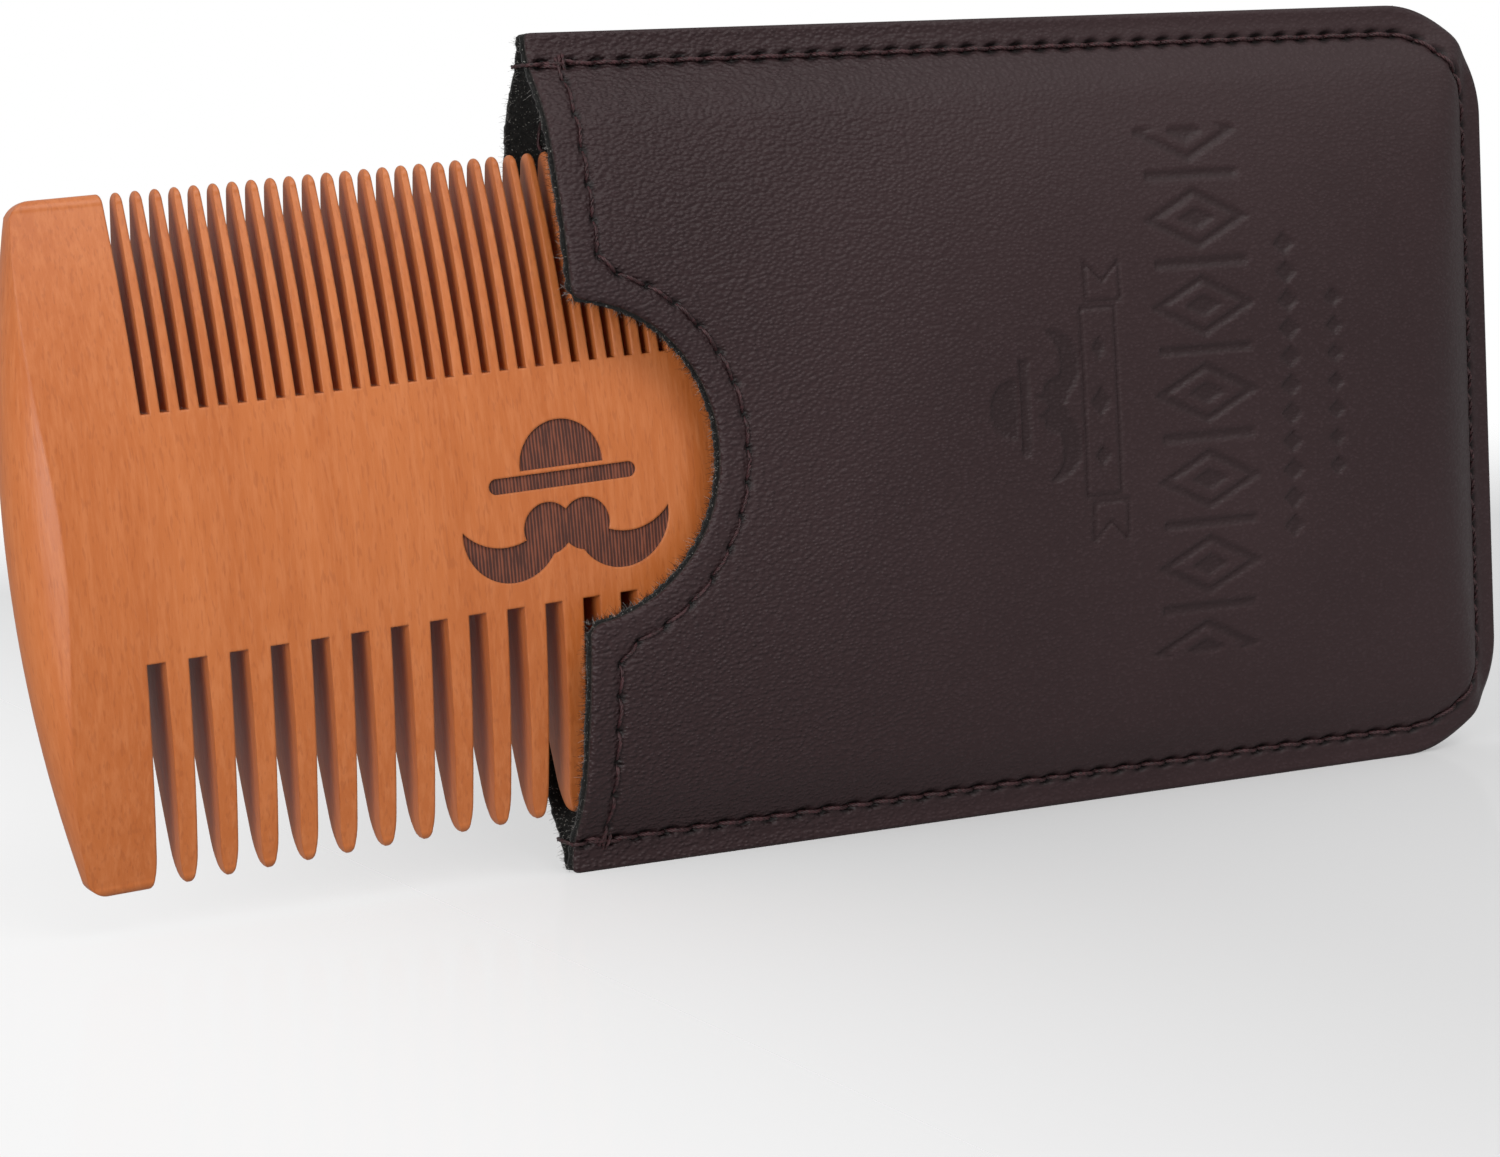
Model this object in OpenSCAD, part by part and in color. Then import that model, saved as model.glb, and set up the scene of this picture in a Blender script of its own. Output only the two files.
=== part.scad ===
// Double-sided wooden beard comb, half drawn out of its lined leather sleeve.
// The sleeve stands on its long lower edge, and the origin is the middle of that
// edge. +X runs from the open mouth to the closed end, +Z is up, and the front
// panel with the thumb notch faces -Y. The sleeve's halves meet on Y = 0.
// Shapes are drawn with X = 0 at the mouth, and from_mouth() moves them there.

/* [Comb] */
// Length over the two arched ends
comb_length = 103; // [90:1:115]
// Width from fine tips to coarse tips
comb_width = 63; // [54:1:66]
// Thickness of the spine, where the comb is fattest
comb_thickness = 11; // [8:0.5:11.5]
// Thickness at the tooth tips
tip_thickness = 2; // [1.5:0.1:3]
// Radius of the arched ends, seen from the front
end_arch_r = 136; // [110:2:200]
// How much larger the rounding of the arched rim is than half the thickness
rim_extra = 0.4; // [0.3:0.1:3]
// Rounding of the four corners, seen from the front
comb_corner_r = 2.5; // [1.5:0.1:4]

/* [Fine teeth] */
// Distance from one fine slot to the next
fine_pitch = 1.81; // [1.5:0.01:2.2]
// Number of fine slots
fine_slots = 44; // [30:1:46]
// Width of a fine slot at its root
fine_slot_w = 0.85; // [0.6:0.05:1]
// Width of a fine slot at the tips
fine_tip_slot_w = 1.15; // [0.8:0.05:1.3]
// Length of the fine teeth
fine_length = 19.7; // [14:0.1:21]
// Length over which a fine tooth rounds down to its tip
fine_tip_l = 1.2; // [0.5:0.1:3]

/* [Coarse teeth] */
// Distance from one coarse slot to the next
coarse_pitch = 3.86; // [3.2:0.02:4.4]
// Number of coarse slots
coarse_slots = 22; // [14:1:23]
// Width of a coarse slot at its root
coarse_slot_w = 1.75; // [1.2:0.05:2]
// Width of a coarse slot at the tips
coarse_tip_slot_w = 2.2; // [1.4:0.05:2.5]
// Length of the coarse teeth
coarse_length = 21.1; // [14:0.1:23]
// Length over which a coarse tooth rounds down to its tip
coarse_tip_l = 3.2; // [1:0.1:6]

/* [Engraving] */
// Width of the engraved hat and moustache
engraving_w = 21; // [14:0.5:24]
// Depth of the engraving
engraving_depth = 0.25; // [0.1:0.05:0.4]
// Height of the engraving's middle above the middle of the comb
engraving_rise = -0.6; // [-2:0.1:3]

/* [Sleeve] */
// How much longer the sleeve is than the comb
sleeve_spare = 6.5; // [5.5:0.5:20]
// Width of sleeve beyond the comb along each long edge
sleeve_margin = 8.5; // [7.5:0.25:12]
// Radius of the two corners of the closed end
sleeve_corner_r = 12; // [9:0.5:16]
// Thickness of the leather
leather_t = 0.75; // [0.6:0.05:1.2]
// Thickness of the felt lining
lining_t = 0.6; // [0.4:0.05:1]
// Free space between the comb's spine and each lining
comb_clearance = 0.5; // [0.4:0.05:1]
// Free space between the tooth tips and each lining
tip_clearance = 0.3; // [0.2:0.1:1]
// Run over which the pocket closes down to the seam at the closed end
closing_run = 12; // [10:0.5:16]
// Angle at which each panel opens out towards the mouth
mouth_flare = 0.9; // [0.5:0.1:1.5]

/* [Thumb notch] */
// Height of the notch along the mouth
notch_height = 30.4; // [24:0.2:34]
// Depth of the notch from the mouth
notch_depth = 14.3; // [11:0.1:18]

/* [Stitching] */
// Distance of each seam from its edge
seam_inset = 3; // [2.5:0.1:3.5]
// Stitch length of the seam around the sleeve
perimeter_stitch = 2.85; // [2.5:0.05:4]
// Stitch length of the seams along the mouth
mouth_stitch = 3.2; // [2.5:0.05:4]
// Diameter of the thread
thread_d = 0.55; // [0.4:0.05:0.7]

/* [Pose] */
// How far the middle of the comb stands out past the mouth
comb_out = 0.5; // [-3:0.5:10]
// Slope of the comb in the sleeve, outer end down
comb_tilt = 2.5; // [0:0.1:2.6]
// How far the comb's middle sits below the middle of the mouth
comb_drop = 2.7; // [1:0.1:3]

/* [Hidden] */
// Segments of the curves
$fn = 128;
// Overshoot of cutting shapes
cut = 1;

// Comb: each face is one wide arc that runs from tip to tip
half_width = comb_width / 2;
spine_half = comb_thickness / 2;
tip_r = tip_thickness / 2;
rim_r = spine_half + rim_extra;
face_chord = half_width - tip_r;
face_rise = spine_half - tip_r;
face_r = (face_chord * face_chord + face_rise * face_rise) / (2 * face_rise);
arch_centre = comb_length / 2 - end_arch_r;
corner_v = half_width - comb_corner_r;
corner_reach = end_arch_r - comb_corner_r;
corner_u = arch_centre + sqrt(corner_reach * corner_reach - corner_v * corner_v);
corner_angle = asin(corner_v / corner_reach);

// Sleeve: the pocket is a wide arc over the comb, bevelled at the long seams
sleeve_length = comb_length + sleeve_spare;
sleeve_height = comb_width + 2 * sleeve_margin;
sleeve_middle = sleeve_height / 2;
wall_t = leather_t + lining_t;
pocket_half = spine_half + comb_clearance;
pocket_tip_half = tip_r + tip_clearance;
pocket_sag = pocket_half - pocket_tip_half;
pocket_chord = half_width + seam_inset;
pocket_r = (pocket_chord * pocket_chord + pocket_sag * pocket_sag) / (2 * pocket_sag);
pocket_edge = seam_inset + wall_t / 2;
closing_r = (closing_run * closing_run + pocket_half * pocket_half) / (2 * pocket_half);
closing_x = sleeve_length - pocket_edge - closing_run;
bevel_spread = sqrt(2);
outer_reach = sleeve_middle;

// Seams
seam_corner_r = sleeve_corner_r - seam_inset;
notch_r = notch_height / 2;
notch_x = notch_depth - notch_r;
thread_flats = 6;
mouth_seam_r = notch_r + seam_inset;
mouth_seam_turn = asin((seam_inset - notch_x) / mouth_seam_r);
crossing_gap = 1.6;

// Distance from the mouth to the middle of the edge that the sleeve stands on
foot_middle = (sleeve_length - sleeve_corner_r) / 2;

// Placement of the comb
comb_x = -comb_out;
comb_z = sleeve_middle - comb_drop;

wood = [0.80, 0.47, 0.27];
leather = [0.13, 0.08, 0.08];
felt = [0.03, 0.03, 0.03];
thread = [0.20, 0.07, 0.06];

// Moves what is drawn from the mouth to its place
module from_mouth() {
    translate([-foot_middle, 0, 0]) children();
}

// ---------- comb ----------

// Section across the comb: two wide arcs with rounded tips
module comb_section() {
    intersection() {
        translate([0, face_r - spine_half]) circle(r = face_r, $fn = 360);
        translate([0, spine_half - face_r]) circle(r = face_r, $fn = 360);
        square([2 * face_chord, comb_thickness], center = true);
    }
    for (side = [-1, 1]) {
        translate([side * face_chord, 0]) circle(r = tip_r, $fn = 32);
    }
}

// Disc with a round rim, whose edge forms one arched end
module arched_disc() {
    rotate([90, 0, 0]) {
        rotate_extrude($fn = 256) {
            translate([0, -rim_r]) square([end_arch_r - rim_r, 2 * rim_r]);
            intersection() {
                translate([end_arch_r - rim_r, 0]) circle(r = rim_r, $fn = 64);
                translate([end_arch_r - rim_r - cut, -rim_r]) square([rim_r + cut, 2 * rim_r]);
            }
        }
    }
}

// What is cut away outside one rounded corner
module corner_waste() {
    reach = 2 * comb_corner_r;
    difference() {
        polygon([
            [0, 0],
            [reach * cos(corner_angle), reach * sin(corner_angle)],
            [reach, reach],
            [0, reach]
        ]);
        circle(r = comb_corner_r, $fn = 48);
    }
}

// Outline of one slot, opening from its root at 0 to the tips at depth,
// where the teeth on both sides of it end in a long rounded tip
tip_fullness = 0.92;
function tip_curve(r, run, depth, edge) = [
    for (a = [0 : 15 : 90]) [edge + r * (1 - cos(a)), depth - run + run * sin(a)]
];
module slot_outline(root_w, tip_w, depth, pitch, tip_l) {
    tip_round = (pitch - tip_w) / 2 * tip_fullness;
    right = tip_curve(tip_round, tip_l, depth, tip_w / 2);
    left = [for (i = [len(right) - 1 : -1 : 0]) [-right[i][0], right[i][1]]];
    top = [[tip_w / 2 + tip_round, depth + cut], [-tip_w / 2 - tip_round, depth + cut]];
    polygon(concat([[-root_w / 2, 0], [root_w / 2, 0]], right, top, left));
}

// A row of slots cut in from the tips
module slot_row(count, pitch, root_w, tip_w, depth, tip_l) {
    for (i = [0 : count - 1]) {
        translate([(i - (count - 1) / 2) * pitch, half_width - depth]) {
            slot_outline(root_w, tip_w, depth, pitch, tip_l);
        }
    }
}

// Hat over a moustache, one unit wide
module motif() {
    for (flip = [0, 1]) {
        mirror([flip, 0]) {
            difference() {
                translate([0.267, -0.12]) circle(r = 0.233, $fn = 64);
                translate([0.3, 0.07]) circle(r = 0.26, $fn = 64);
            }
            translate([0.09, -0.13]) circle(r = 0.118, $fn = 48);
        }
        translate([(flip - 0.5) * 0.64, 0.085]) circle(r = 0.035, $fn = 32);
    }
    translate([-0.32, 0.05]) square([0.64, 0.07]);
    intersection() {
        translate([0, 0.15]) circle(r = 0.2, $fn = 64);
        translate([-0.2, 0.14]) square([0.4, 0.21]);
    }
}

// Extrudes a shape drawn in X and Z from Y = 0 towards -Y
module front_side(thickness) {
    rotate([90, 0, 0]) linear_extrude(height = thickness) children();
}

// Extrudes a shape drawn in X and Z through the thickness, centred on Y = 0
module through(thickness) {
    rotate([90, 0, 0]) linear_extrude(height = thickness, center = true) children();
}

// Extrudes a section drawn in Y and Z along X, both ways
module lengthwise() {
    rotate([90, 0, 90]) linear_extrude(height = 3 * sleeve_length, center = true) children();
}

// What the engraving takes out of the front face, to an even depth
module engraving() {
    difference() {
        front_side(comb_thickness) {
            translate([0, engraving_rise]) scale(engraving_w) motif();
        }
        lengthwise() translate([face_r - spine_half, 0]) circle(r = face_r - engraving_depth, $fn = 360);
    }
}

module comb() {
    color(wood)
    from_mouth()
    translate([comb_x, 0, comb_z])
    rotate([0, -comb_tilt, 0])
    difference() {
        intersection() {
            lengthwise() rotate(90) comb_section();
            translate([arch_centre, 0, 0]) arched_disc();
            translate([-arch_centre, 0, 0]) arched_disc();
        }
        through(comb_thickness) {
            for (flip_u = [0, 1], flip_v = [0, 1]) {
                mirror([flip_u, 0]) mirror([0, flip_v]) {
                    translate([corner_u, corner_v]) corner_waste();
                }
            }
            slot_row(fine_slots, fine_pitch, fine_slot_w, fine_tip_slot_w, fine_length, fine_tip_l);
            mirror([0, 1]) {
                slot_row(coarse_slots, coarse_pitch, coarse_slot_w, coarse_tip_slot_w,
                    coarse_length, coarse_tip_l);
            }
        }
        engraving();
    }
}

// ---------- sleeve ----------

// Outline of the sleeve, drawn in X and Z and drawn in by inset on three sides
module sleeve_outline(inset) {
    r = sleeve_corner_r - inset;
    end = sleeve_length - inset;
    square_end = end - r;
    translate([0, inset]) square([square_end, sleeve_height - 2 * inset]);
    translate([0, inset + r]) square([end, sleeve_height - 2 * (inset + r)]);
    for (z = [inset + r, sleeve_height - inset - r]) {
        translate([square_end, z]) circle(r = r, $fn = 96);
    }
}

// The notch that lets a thumb reach the comb
module notch_outline() {
    translate([notch_x, sleeve_middle]) circle(r = notch_r, $fn = 96);
    if (notch_x > 0) {
        translate([-cut, sleeve_middle - notch_r]) square([notch_x + cut, notch_height]);
    }
}

// Section of the bulge in Y and Z: the wide arc over the comb
module arc_section(skin) {
    translate([pocket_r - pocket_half, sleeve_middle]) circle(r = pocket_r + skin, $fn = 360);
}

// Section of the bulge in Y and Z: the two bevels that bring it down to the seams
module bevel_section(skin) {
    low = pocket_edge - skin * bevel_spread;
    high = sleeve_height - low;
    polygon([[0, low], [-outer_reach, low + outer_reach], [-outer_reach, high - outer_reach], [0, high]]);
}

// Section of the bulge in X and Y: straight, then rounded down at the closed end
module closing_section(skin) {
    translate([-outer_reach, -outer_reach]) square([closing_x + outer_reach, outer_reach]);
    intersection() {
        translate([closing_x, closing_r - pocket_half]) circle(r = closing_r + skin, $fn = 180);
        translate([closing_x - cut, -outer_reach]) square([closing_run + outer_reach, outer_reach]);
    }
}

// Space from the middle plane to a surface that lies skin outside the pocket
module half_bulge(skin) {
    intersection() {
        translate([closing_x, 0, 0]) rotate([0, 0, mouth_flare]) lengthwise() arc_section(skin);
        lengthwise() bevel_section(skin);
        linear_extrude(height = sleeve_height) closing_section(skin);
        front_side(outer_reach) sleeve_outline(pocket_edge - skin);
    }
}

// Everything on the front side of the middle plane up to skin outside the pocket
module half_body(skin) {
    intersection() {
        union() {
            half_bulge(skin);
            if (skin > 0) front_side(skin) sleeve_outline(0);
        }
        front_side(outer_reach) sleeve_outline(0);
    }
}

// One layer of the front half, with or without the thumb notch
module layer(inner, outer, notched) {
    difference() {
        half_body(outer);
        half_body(inner);
        if (notched) through(2 * outer_reach) notch_outline();
    }
}

module front_panel() {
    color(leather) from_mouth() layer(lining_t, wall_t, true);
}

module front_lining() {
    color(felt) from_mouth() layer(0, lining_t, true);
}

module back_panel() {
    color(leather) from_mouth() mirror([0, 1, 0]) layer(lining_t, wall_t, false);
}

module back_lining() {
    color(felt) from_mouth() mirror([0, 1, 0]) layer(0, lining_t, false);
}

// ---------- stitching ----------

// Distance of the outer leather surface from the middle plane
function skin_y(x, z) =
    let (d = z - sleeve_middle)
    let (r = pocket_r + wall_t)
    let (apex = pocket_half + (closing_x - x) * tan(mouth_flare))
    let (arc = sqrt(r * r - d * d) - pocket_r + apex)
    let (bevel = sleeve_middle - abs(d) - pocket_edge + wall_t * bevel_spread)
    let (run = max(0, x - closing_x))
    let (reach = closing_r + wall_t)
    let (closing = run < reach ? sqrt(reach * reach - run * run) - closing_r + pocket_half : 0)
    max(wall_t, x < closing_x ? min(arc, bevel) : min(arc, bevel, closing));

// Holes of the seam around the sleeve, from the top of the mouth to its foot
seam_start = thread_d * 2;
side_run = sleeve_length - sleeve_corner_r - seam_start;
corner_run = seam_corner_r * 90 * PI / 180;
end_run = sleeve_height - 2 * sleeve_corner_r;
perimeter_run = 2 * side_run + 2 * corner_run + end_run;
perimeter_count = round(perimeter_run / perimeter_stitch);
corner_x = sleeve_length - sleeve_corner_r;
function half_perimeter(s) =
    s < side_run ? [seam_start + s, sleeve_height - seam_inset] :
    s < side_run + corner_run ?
        let (a = (s - side_run) / seam_corner_r * 180 / PI)
        [corner_x + seam_corner_r * sin(a), sleeve_height - sleeve_corner_r + seam_corner_r * cos(a)] :
    [sleeve_length - seam_inset, sleeve_height - sleeve_corner_r - (s - side_run - corner_run)];
function perimeter_hole(i) =
    let (s = i * perimeter_run / perimeter_count)
    s <= perimeter_run / 2 ? half_perimeter(s) :
    let (p = half_perimeter(perimeter_run - s)) [p[0], sleeve_height - p[1]];

// Holes of the seam along the mouth and around the notch, from the foot upwards
mouth_foot = seam_inset + crossing_gap;
mouth_leg = sleeve_middle - mouth_seam_r * cos(mouth_seam_turn) - mouth_foot;
notch_run = mouth_seam_r * (180 - 2 * mouth_seam_turn) * PI / 180;
front_mouth_run = 2 * mouth_leg + notch_run;
front_mouth_count = round(front_mouth_run / mouth_stitch);
function front_mouth_hole(i) =
    let (s = i * front_mouth_run / front_mouth_count)
    s < mouth_leg ? [seam_inset, mouth_foot + s] :
    s < mouth_leg + notch_run ?
        let (a = mouth_seam_turn + (s - mouth_leg) / mouth_seam_r * 180 / PI)
        [notch_x + mouth_seam_r * sin(a), sleeve_middle - mouth_seam_r * cos(a)] :
    [seam_inset, sleeve_height - mouth_foot - (front_mouth_run - s)];

// Holes of the straight seam along the mouth of the back panel
back_mouth_run = sleeve_height - 2 * mouth_foot;
back_mouth_count = round(back_mouth_run / mouth_stitch);
function back_mouth_hole(i) = [seam_inset, mouth_foot + i * back_mouth_run / back_mouth_count];

// Straight piece of thread from one point to another
module strand(from, to) {
    run = to - from;
    length = norm(run);
    translate(from) {
        rotate([0, acos(run[2] / length), atan2(run[1], run[0])]) {
            cylinder(h = length, d = thread_d, $fn = thread_flats);
        }
    }
}

// Leg of thread through a needle hole, between two depths in front of Y = 0
module thread_leg(hole, deep, shallow) {
    translate([hole[0], -deep, hole[1]]) {
        rotate([90, 0, 0]) cylinder(h = shallow - deep, d = thread_d * 1.3, $fn = thread_flats);
    }
}

// One side of a lock stitch: strands on the surface and a leg down every hole.
// The strands lie sunk below the outer skin; the legs end leg_end below it.
function on_skin(hole, sunk) = [hole[0], sunk - skin_y(hole[0], hole[1]), hole[1]];
module lock_stitches(holes, sunk, leg_end) {
    outward = leg_end > sunk ? 1 : -1;
    for (hole = holes) {
        skin = skin_y(hole[0], hole[1]);
        start = skin - leg_end;
        end = skin - sunk + outward * thread_d / 2;
        thread_leg(hole, min(start, end), max(start, end));
    }
    for (i = [0 : len(holes) - 2]) {
        strand(on_skin(holes[i], sunk), on_skin(holes[i + 1], sunk));
    }
}

// The seam around the sleeve on one side, its ends wrapped over the mouth edge
module perimeter_side() {
    wrap_x = -thread_d / 2;
    ends = [[wrap_x, sleeve_height - seam_inset]];
    feet = [[wrap_x, seam_inset]];
    holes = concat(ends, [for (i = [0 : perimeter_count]) perimeter_hole(i)], feet);
    lock_stitches(holes, 0, wall_t);
}

front_mouth_holes = [for (i = [0 : front_mouth_count]) front_mouth_hole(i)];
back_mouth_holes = [for (i = [0 : back_mouth_count]) back_mouth_hole(i)];

module perimeter_needle_thread() {
    color(thread) from_mouth() perimeter_side();
}

module perimeter_bobbin_thread() {
    color(thread) from_mouth() mirror([0, 1, 0]) perimeter_side();
}

module front_mouth_needle_thread() {
    color(thread) from_mouth() lock_stitches(front_mouth_holes, 0, wall_t / 2);
}

module front_mouth_bobbin_thread() {
    color(thread) from_mouth() lock_stitches(front_mouth_holes, wall_t, wall_t / 2);
}

module back_mouth_needle_thread() {
    color(thread) from_mouth() mirror([0, 1, 0]) lock_stitches(back_mouth_holes, 0, wall_t / 2);
}

module back_mouth_bobbin_thread() {
    color(thread) from_mouth() mirror([0, 1, 0]) lock_stitches(back_mouth_holes, wall_t, wall_t / 2);
}

comb();
front_panel();
front_lining();
back_panel();
back_lining();
perimeter_needle_thread();
perimeter_bobbin_thread();
front_mouth_needle_thread();
front_mouth_bobbin_thread();
back_mouth_needle_thread();
back_mouth_bobbin_thread();
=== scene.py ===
"""Looks of a wooden beard comb half drawn out of its lined leather sleeve.

The comb is the CAD frame's own node. The sleeve's panels, linings and threads are
rebuilt here as thin sheets and twisted thread that ride on the frame's bodies.
Shapes are worked out in millimetres from the mouth of the sleeve, and become metres
in the frame when a mesh is made: the sleeve stands on Z = 0, its mouth faces -X and
its front panel, with the thumb notch, faces -Y.
"""

import math

import bpy
import numpy as np
from mathutils import Matrix, Vector


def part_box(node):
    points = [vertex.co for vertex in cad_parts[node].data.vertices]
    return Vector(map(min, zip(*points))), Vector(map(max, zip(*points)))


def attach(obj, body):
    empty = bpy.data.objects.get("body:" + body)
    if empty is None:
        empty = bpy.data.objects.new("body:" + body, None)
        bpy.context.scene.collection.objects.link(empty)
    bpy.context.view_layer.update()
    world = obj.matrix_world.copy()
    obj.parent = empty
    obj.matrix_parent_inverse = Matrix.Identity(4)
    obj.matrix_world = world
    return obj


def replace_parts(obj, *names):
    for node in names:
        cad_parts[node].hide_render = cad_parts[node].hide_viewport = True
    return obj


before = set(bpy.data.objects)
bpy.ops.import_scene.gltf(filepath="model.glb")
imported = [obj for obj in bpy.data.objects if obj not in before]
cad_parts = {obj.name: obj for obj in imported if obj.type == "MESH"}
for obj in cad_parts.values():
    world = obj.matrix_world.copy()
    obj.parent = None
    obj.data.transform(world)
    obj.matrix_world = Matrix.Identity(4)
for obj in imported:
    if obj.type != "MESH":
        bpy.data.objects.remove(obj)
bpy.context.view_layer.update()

MM = 0.001
MOUTH_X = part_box("front_panel")[0].x / MM

# Sleeve, as in the CAD source
LENGTH = 109.5
HEIGHT = 80.0
MIDDLE = HEIGHT / 2
CORNER_R = 12.0
LEATHER_T = 0.75
LINING_T = 0.6
WALL_T = LEATHER_T + LINING_T
COMB_HALF_WIDTH = 31.5
SPINE_HALF = 5.5
POCKET_HALF = SPINE_HALF + 0.5
POCKET_TIP_HALF = 1.3
CLOSING_RUN = 12.0
MOUTH_FLARE = math.radians(0.9)
NOTCH_R = 15.2
NOTCH_X = -0.9

# Seams, as in the CAD source
SEAM_INSET = 3.0
PERIMETER_STITCH = 2.85
MOUTH_STITCH = 3.2
THREAD_D = 0.55
CROSSING_GAP = 1.6

# Comb, as in the CAD source
COMB_CENTRE = Vector((-0.5, 0.0, 37.3))
COMB_TILT = math.radians(2.5)
COMB_FACE_R = 105.6
ENGRAVED_HALF_HEIGHT = 9.5
ENGRAVED_HALF_WIDTH = 12.0

# Worked out from those
POCKET_SAG = POCKET_HALF - POCKET_TIP_HALF
POCKET_CHORD = COMB_HALF_WIDTH + SEAM_INSET
POCKET_R = (POCKET_CHORD**2 + POCKET_SAG**2) / (2 * POCKET_SAG)
POCKET_EDGE = SEAM_INSET + WALL_T / 2
CLOSING_R = (CLOSING_RUN**2 + POCKET_HALF**2) / (2 * POCKET_HALF)
CLOSING_X = LENGTH - POCKET_EDGE - CLOSING_RUN
MOUTH_SEAM_R = NOTCH_R + SEAM_INSET
MOUTH_SEAM_TURN = math.asin((SEAM_INSET - NOTCH_X) / MOUTH_SEAM_R)

# How far the front panel curls out at the mouth, and how soon that fades
MOUTH_CURL = 0.5
MOUTH_CURL_RUN = 9.0
# Above 1, the front panel is flatter across than an arc
FRONT_FLATNESS = 1.35
# Rounding of the creases along the long seams, at the closed end and at the margin
LONG_CREASE = 2.4
END_CREASE = 1.6
MARGIN_CREASE = 1.8
# What the rounding of the creases takes away, given back so that the comb still fits
CREASE_EASE = 0.55
# Radius of a needle hole in the seam round the sleeve and in the mouth seams
BIG_HOLE_R = 0.68
SMALL_HOLE_R = 0.46
ORNAMENT_DEPTH = 0.26
# Painted shade: how much darker the leather is coloured in the pressed ornament
ORNAMENT_PAINTED_SHADE = 0.22

FRONT, BACK = -1, 1
random = np.random.default_rng(7)


# ---------- shape of the sleeve ----------


def smooth_min(a, b, blend):
    """The lower of two heights, with the crease between them rounded over blend."""
    near = np.maximum(blend - np.abs(a - b), 0) / blend
    return np.minimum(a, b) - near * near * blend / 4


def smooth_max(a, b, blend):
    return -smooth_min(-a, -b, blend)


def smooth_step(value, low, high):
    t = np.clip((value - low) / (high - low), 0, 1)
    return t * t * (3 - 2 * t)


def skin(x, z, side):
    """Distance of the leather's outer surface from the middle plane. The front panel
    is flatter across than the CAD's arc, and curls out a little at the mouth."""
    off = np.abs(z - MIDDLE)
    curl = 0.0
    if side == FRONT:
        off = POCKET_CHORD * (off / POCKET_CHORD) ** FRONT_FLATNESS
        fading = np.exp(-((x / MOUTH_CURL_RUN) ** 2))
        curl = MOUTH_CURL * fading * smooth_step(off, POCKET_CHORD, 12)
    radius = POCKET_R + WALL_T
    apex = POCKET_HALF + (CLOSING_X - x) * math.tan(MOUTH_FLARE)
    arc = np.sqrt(radius**2 - off**2) - POCKET_R + apex
    bevel = MIDDLE - np.abs(z - MIDDLE) - POCKET_EDGE + WALL_T * math.sqrt(2)
    run = np.maximum(x - CLOSING_X, 0)
    reach = CLOSING_R + WALL_T
    closing = np.sqrt(np.maximum(reach**2 - run**2, 0)) - CLOSING_R + POCKET_HALF
    closing += np.maximum(CLOSING_X - x, 0) * 0.25
    across = smooth_min(arc, bevel, LONG_CREASE)
    bulge = smooth_min(across, closing, END_CREASE) + CREASE_EASE
    return smooth_max(bulge + curl, WALL_T, MARGIN_CREASE)


def inside_by(x, z, notched):
    """How far inside the outline a point lies; negative outside it."""
    along = np.minimum(x, LENGTH - x)
    across = np.minimum(z, HEIGHT - z)
    past_x = x - (LENGTH - CORNER_R)
    past_z = np.abs(z - MIDDLE) - (MIDDLE - CORNER_R)
    in_corner = (past_x > 0) & (past_z > 0)
    edges = smooth_min(along, across, 0.6)
    reach = np.where(in_corner, CORNER_R - np.hypot(past_x, past_z), edges)
    if notched:
        notch = np.hypot(np.maximum(x - NOTCH_X, 0), z - MIDDLE) - NOTCH_R
        reach = smooth_min(reach, notch, 1.4)
    return reach


def spaced(*stops):
    """Grid lines from 0, each stop giving where a stretch ends and its spacing."""
    lines = [0.0]
    for end, step in stops:
        count = max(1, round((end - lines[-1]) / step))
        lines += list(np.linspace(lines[-1], end, count + 1)[1:])
    return np.array(lines)


def snap_to_outline(x, z, edge, notched):
    """Moves the points marked in edge onto the outline."""
    probe = 0.02
    for _ in range(4):
        reach = inside_by(x, z, notched)
        slope_x = (inside_by(x + probe, z, notched) - reach) / probe
        slope_z = (inside_by(x, z + probe, notched) - reach) / probe
        steep = np.maximum(slope_x**2 + slope_z**2, 0.3)
        x = np.where(edge, x - np.clip(reach * slope_x / steep, -0.8, 0.8), x)
        z = np.where(edge, z - np.clip(reach * slope_z / steep, -0.8, 0.8), z)
    return x, z


def frayed(x, z, edge, notched, fray):
    """Felt edge points moved unevenly out of the mouth, so that the felt shows there."""
    out = fray * random.uniform(1.2, 3.4, x.shape)
    from_x, from_z = x - NOTCH_X, z - MIDDLE
    radius = np.hypot(from_x, from_z)
    on_notch = edge & notched & (radius < NOTCH_R + 0.3) & (x > 0.2)
    on_mouth = edge & ~on_notch & (x < 0.2)
    share = np.where(on_notch, 1 - out / np.maximum(radius, 1), 1)
    x = np.where(on_mouth, x - out, NOTCH_X + from_x * share)
    z = MIDDLE + from_z * share
    return x, np.clip(z + edge * random.uniform(-fray, fray, x.shape), 0, HEIGHT)


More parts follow.
